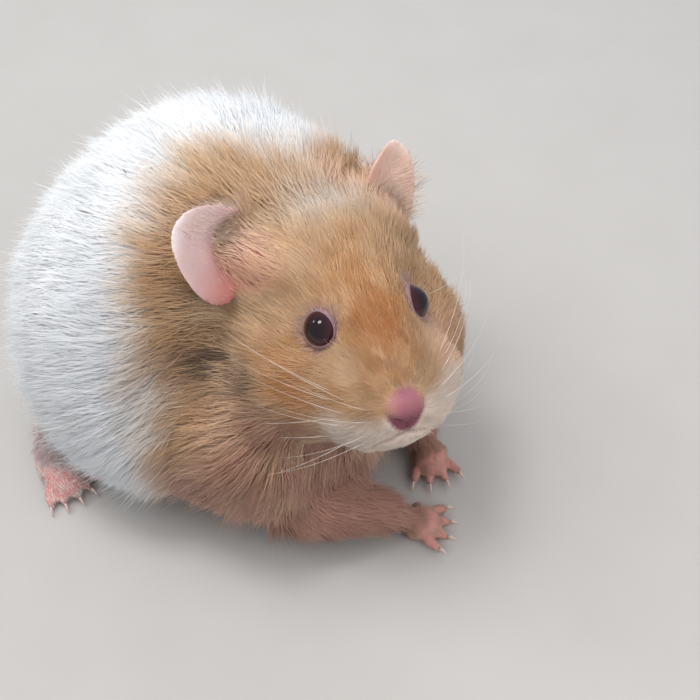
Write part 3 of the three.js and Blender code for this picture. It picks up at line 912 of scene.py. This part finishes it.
width *= np.where(guard, GUARD_WIDTH, 1) * np.where(under, UNDER_WIDTH, 1)
rise = shares @ HAIR_RISE * (1 - 0.35 * on_muzzle) + STEEPER[0] * tufted + STEEPER[1] * fringe
rise = (rise * rng.uniform(0.75, 1.25, len(roots))).clip(0, 1.2)
fallen = rise * FLATTENS
stands = length * (np.sin(rise) + np.sin(fallen)) / 2
highest = COAT_FILL * depth[faces[chosen]].mean(1) + LEAST_RISE
highest = highest + EAR_RISE * (tufted + fringe + long_fringe) + PAD_RISE * on_pad
highest += GUARD_RISE * guard * shares[:, [TRUNK, NECK, THIGH, ARM, HEAD]].sum(1) * (1 - on_muzzle)
length *= np.minimum(1, highest / stands)
way = lie_of_coat(roots, out, shares) + rng.normal(0, 0.2, roots.shape)
# Below each ear's opening the hair is washed reddish brown as painted shade.
ear_shadow_below = 0
for mouth, (root, along, across, _) in zip(ear_mouths, ear_frames):
    near_mouth = tufted * (span(roots - mouth) < 10)
    way = way + 1.2 * near_mouth[:, None] * unit(root + 9.0 * along - roots)
    downwards = -np.sign(across @ HEAD_AXES[2]) * across
    ear_shadow_below = ear_shadow_below + near_mouth * ramp(-1.5, 2.5, (roots - root) @ downwards)
way = way - 0.8 * long_fringe[:, None] * ear_frames[1][2]
way = tangent(way, out)
leaving = np.cos(rise)[:, None] * way + np.sin(rise)[:, None] * out
clump = cells(roots, CLUMP, 3)
swirl = rng.normal(0, 0.22, (clump.max() + 1, 3))[clump] * (1 - 0.6 * on_muzzle)[:, None]
ending = unit(np.cos(fallen)[:, None] * way + np.sin(fallen)[:, None] * out + swirl)
tips = roots + length[:, None] * (leaving + ending) / 2
lean = LEAN * (group_mean(tips, clump) - tips) * np.minimum(1, 2 / np.maximum(length, 1))[:, None]

tones = rng.normal(1, 0.05, clump.max() + 1)[clump] * rng.normal(1, 0.03, len(roots))
colours = coat_colour(roots + 0.65 * (tips - roots))
tinted = ramp(0.75, 0.35, colours[:, 2]) * ramp(0.07, 0.2, colours[:, 1])
paleness = 0.35 * rng.random(clump.max() + 1)[clump] ** 2 + 0.4 * (rng.random(len(roots)) < 0.12)
ear_hair = washed(np.tile(PEACH, (len(roots), 1)), (EAR_FLUFF, ramp(0.1, 0.6, fringe)))
colours = washed(
    colours,
    (CREAM, paleness * tinted * (1 - shares[:, EAR])),
    (LID_HAIR, 0.55 * ramp(eye_radius + 1.9, eye_radius + 0.3, lid_gap)),
    (SHADED_BLUSH, 0.7 * shares[:, LIMB]),
    (PEACH, 0.55 * tufted * ramp(8.0, 4.5, mouth_gap)),
    (EAR_SHADOW_BROWN, 0.5 * ear_shadow_below),
    (ear_hair, 0.9 * shares[:, EAR]),
    (CREAM, 0.4 * shares[:, PAW]),
)
colours = np.clip(colours * tones[:, None], 0, 1)
root_colours = colours * 0.97
colours = washed(colours, (CREAM, 0.15 * tinted * (1 - 0.7 * on_muzzle)))

fur = {"Specular IOR Level": 0.2, "Sheen Weight": 0.12, "Sheen Roughness": 0.5}
coat_look, shader, place = finish("coat", fur)
root_shade = attribute(place, "root_colour")
run = attribute(place, "along", "Fac")
join(root_shade.mixed(attribute(place, "colour"), run), shader, "Base Color")
strands = place.noise(900.0, 1.0)
join(0.55 + strands * 0.25, shader, "Roughness")

SOFTNESS = 3.0  # how far a lock's normals follow those of the skin below it


def coat_piece(name, which, rings, charts):
    """Closed locks: a three-sided ring at each share of the length, shrinking to a point.

    The spine is root + length * (s * leaving + s^2 / 2 * (ending - leaving)), and leans by s^2 to its
    neighbours. On the OFBake map each lock is one small patch where its root lies.
    """
    count = len(which)
    s = np.r_[rings, 1.0][None, :, None]
    bend = s * leaving[which, None] + s**2 / 2 * (ending[which] - leaving[which])[:, None]
    spine = roots[which, None] - ROOTED * width[which, None, None] * out[which, None]
    spine = spine + length[which, None, None] * bend + s**2 * lean[which, None]
    across = unit(np.cross(out[which], way[which]))
    raised = np.cross(way[which], across)
    roll = rng.uniform(0, 2 * np.pi, (count, 1)) + np.arange(LOCK_SIDES) * 2 * np.pi / LOCK_SIDES
    ring = np.cos(roll)[..., None] * across[:, None] + np.sin(roll)[..., None] * raised[:, None]
    girth = (1 - rings**1.6 * 0.75) / 2 * width[which, None]
    body = spine[:, :-1, None] + girth[..., None, None] * ring[:, None]
    per_lock = LOCK_SIDES * len(rings) + 1
    vertices = np.concatenate([body.reshape(count, -1, 3), spine[:, -1:]], 1)
    vertices[..., 2] = np.maximum(vertices[..., 2], 0.03)
    pattern = [[2, 1, 0]]
    for level, k in np.ndindex(len(rings), LOCK_SIDES):
        a, b = level * LOCK_SIDES + k, level * LOCK_SIDES + (k + 1) % LOCK_SIDES
        if level < len(rings) - 1:
            pattern += [[a, b, b + LOCK_SIDES], [a, b + LOCK_SIDES, a + LOCK_SIDES]]
        else:
            pattern += [[a, b, per_lock - 1]]
    triangles = (np.arange(count)[:, None, None] * per_lock + np.array(pattern)).reshape(-1, 3)
    mesh = bpy.data.meshes.new(name)
    mesh.vertices.add(count * per_lock)
    mesh.vertices.foreach_set("co", (vertices * MM).astype(np.float32).ravel())
    mesh.loops.add(triangles.size)
    mesh.loops.foreach_set("vertex_index", triangles.astype(np.int32).ravel())
    mesh.polygons.add(len(triangles))
    mesh.polygons.foreach_set("loop_start", np.arange(0, triangles.size, 3, dtype=np.int32))
    mesh.update(calc_edges=True)
    runs = np.r_[np.repeat(rings, LOCK_SIDES), 1.0]
    turns = np.r_[np.tile(np.arange(LOCK_SIDES) / LOCK_SIDES, len(rings)), 0.5]
    give(mesh, "along", np.tile(runs, count))
    give(mesh, "colour", np.repeat(colours[which], per_lock, 0))
    give(mesh, "root_colour", np.repeat(root_colours[which], per_lock, 0))
    chart_at, cell, cells_wide = charts
    home = eight_sided(roots[which] - chart_at)
    home = (home * 0.96 + 0.02 + np.stack([cell % cells_wide, cell // cells_wide], 1)) / cells_wide
    patch = home[:, None] + PATCH * np.stack([turns - 0.5, runs - 0.5], 1)
    layer = mesh.uv_layers.new(name="OFBake")
    layer.uv.foreach_set("vector", patch.reshape(-1, 2)[triangles.ravel()].astype(np.float32).ravel())
    mesh.materials.append(coat_look)
    mesh.shade_smooth()
    soft = read(mesh.vertex_normals, "vector", 3) + SOFTNESS * np.repeat(out[which], per_lock, 0)
    mesh.normals_split_custom_set_from_vertices(unit(soft).tolist())
    piece = stand(name, mesh)
    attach(piece, "root")


# The locks are parted into pieces round the body, across the head and by limb, to keep each light.
MOST_TRIANGLES = 190000
main = shares.argmax(1)
body_at = centre("trunk")
body_turn = np.arctan2(*(roots - body_at)[:, [1, 0]].T)
head_turn = on_head(roots)[:, 1]
small_at = np.vstack([middles for _, middles, _ in small_parts])
small_cell = nearest(roots, small_at)
flat_cell = np.zeros(len(roots), int)
layers = [("coat", ~under, LONG_RINGS), ("undercoat", under, UNDER_RINGS)]
regions = [
    ("body", [TRUNK, NECK, THIGH, ARM], body_turn, body_at, flat_cell, 1, "white_coat"),
    ("head", [HEAD, NOSE, EYE], head_turn, head_at, flat_cell, 1, "tan_coat"),
    ("limbs", [LIMB, PAW, EAR, TAIL], small_cell, small_at[small_cell], small_cell, 4, "bare_skin"),
]
for region, members, order, chart_at, cell, cells_wide, slot in regions:
    for word, layer, rings in layers:
        picked = np.nonzero(np.isin(main, members) & layer)[0]
        picked = picked[np.argsort(order[picked], kind="stable")]
        triangles = (LOCK_SIDES * (2 * len(rings) - 1) + 1) * len(picked)
        pieces = -(-triangles // MOST_TRIANGLES)
        for number, which in enumerate(np.array_split(picked, max(pieces, 1))):
            chart = chart_at if chart_at.ndim == 1 else chart_at[which]
            charts = (chart, cell[which], cells_wide)
            coat_piece(f"{word}_{region}_{number + 1}", which, rings, charts)

# ---- Whiskers ----
# Long pale whiskers in rows on the pads beside the nose, and one over the far eye: single hairs,
# thick at the root and drawn out fine, sweeping back and down.

whisker_look, shader, place = finish("whisker", {"Roughness": 0.35})
sheen = place.noise(300.0)
join(shade(place, (0.85, 0.82, 0.78)).mixed((0.7, 0.64, 0.58, 1), sheen), shader, "Base Color")
WHISKER_GIRTH, WHISKER_END = 0.038, 0.2  # the radius at the root, and the share of it at the tip
WHISKER_ROWS, IN_EACH_ROW = 4, 3
ROW_STEP, PLACE_STEP = 1.35, 2.6
SHORTEST, LONGEST = 17, 27
head_points = on_head(points)


def whisker(at_head, start, end, long):
    """One whisker from the skin nearest a place on the head, bending from one way to another."""
    root = points[span(head_points - at_head).argmin()]
    start, end = unit(np.array(start) @ HEAD_AXES), unit(np.array(end) @ HEAD_AXES)
    s = np.linspace(0, 1, 14)[:, None]
    spine = root + long * (s * start + s**2 / 2 * (end - start))
    spine[:, 2] = np.maximum(spine[:, 2], 0.5)
    girth = WHISKER_GIRTH * (1 - (1 - WHISKER_END) * s)
    across = unit(np.cross(start, [0.1, 0.2, 1.0]))
    return tube("whisker", spine, girth, across, np.cross(across, start), 5)


whiskers = [whisker([4, 15, 4], [0.5, 1.0, 0.6], [0.1, 0.3, 1.2], 24)]
for left, row, back in np.ndindex(2, WHISKER_ROWS, IN_EACH_ROW):
    side = 2 * left - 1
    at_head = [19.0 - PLACE_STEP * back, side * (5.0 + 0.9 * back), -4.8 - ROW_STEP * row]
    backward = 0.25 + 0.4 * back + rng.normal(0, 0.1)
    rising = 0.62 - 0.38 * row + rng.normal(0, 0.12)
    start = [0.25 - backward, side, rising]
    end = [-backward - 0.75, 0.75 * side, rising - 0.35]
    long = rng.uniform(SHORTEST, LONGEST) * (0.85 + 0.1 * back)
    whiskers.append(whisker(at_head, start, end, long))
whiskers = piece_from(whiskers, "whiskers", whisker_look)
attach(whiskers, "root")

# ---- Floor, light and camera ----
# A pale plain floor. A broad soft light hangs high on the camera's left, a fill on its right and one
# behind the animal, and two small lamps show in the eyes. The camera looks down on the head.

ROUND, HIGH = np.radians(30), np.radians(50)  # the camera's turn round the animal, and its height
DISTANCE, LENS = 232.5, 68.25
FLOOR_HALF = 900
level = np.cos(HIGH)
backwards = np.array([np.sin(ROUND) * level, -np.cos(ROUND) * level, np.sin(HIGH)])
rightwards = np.array([np.cos(ROUND), np.sin(ROUND), 0])
target = head_at - 0.3 * rightwards - 5.9 * np.cross(backwards, rightwards)


def aimed(thing, at, towards):
    """Puts a lamp or camera at a point, looking at another."""
    thing.location = at * MM
    thing.rotation_euler = Vector((towards - at).tolist()).to_track_quat("-Z", "Y").to_euler()


camera = stand("camera", bpy.data.cameras.new("camera"))
camera.data.sensor_width = 36
camera.data.lens = LENS
camera.data.clip_start = 0.01
aimed(camera, target + DISTANCE * backwards, target)
bpy.context.scene.camera = camera


def softbox(name, at, size, watts, colour=(1.0, 1.0, 1.0), mirrored=False):
    """A round lamp that looks at the animal; only a small one shows in the wet of its eyes."""
    lamp = stand(name, bpy.data.lights.new(name, "AREA"))
    lamp.data.shape = "DISK"
    lamp.data.size = size * MM
    lamp.data.energy = watts
    lamp.data.color = colour
    lamp.visible_glossy = mirrored
    aimed(lamp, np.array(at, float), np.array([0.0, 0.0, 30.0]))


softbox("key", (-170, -120, 420), 420, 1.02, (1.0, 0.99, 0.98))
softbox("fill", (360, -60, 240), 350, 0.46, (1.0, 0.98, 0.97))
softbox("back", (-60, 340, 300), 290, 0.35, (0.97, 0.98, 1.0))
softbox("glint", (-60, -50, 430), 125, 0.45, mirrored=True)
softbox("second_glint", (-300, -60, 330), 80, 0.1, mirrored=True)

world = bpy.data.worlds.new("room")
world.use_nodes = True
background = world.node_tree.nodes["Background"]
background.inputs["Color"].default_value = (0.88, 0.91, 0.95, 1)
background.inputs["Strength"].default_value = 0.58
bpy.context.scene.world = world
bpy.context.scene.view_settings.view_transform = "Standard"

floor_look, shader, place = finish("floor", {"Roughness": 0.75})
speckle = place.noise(60.0)
join(shade(place, (0.5, 0.48, 0.46)).mixed((0.54, 0.52, 0.5, 1), speckle), shader, "Base Color")
reach = np.linspace(-FLOOR_HALF, FLOOR_HALF, 9)
floor_grid = np.stack(np.broadcast_arrays(reach[:, None], reach[None], 0.0), -1)
floor = piece_from([grid_mesh("floor", floor_grid, False)], "floor", floor_look)
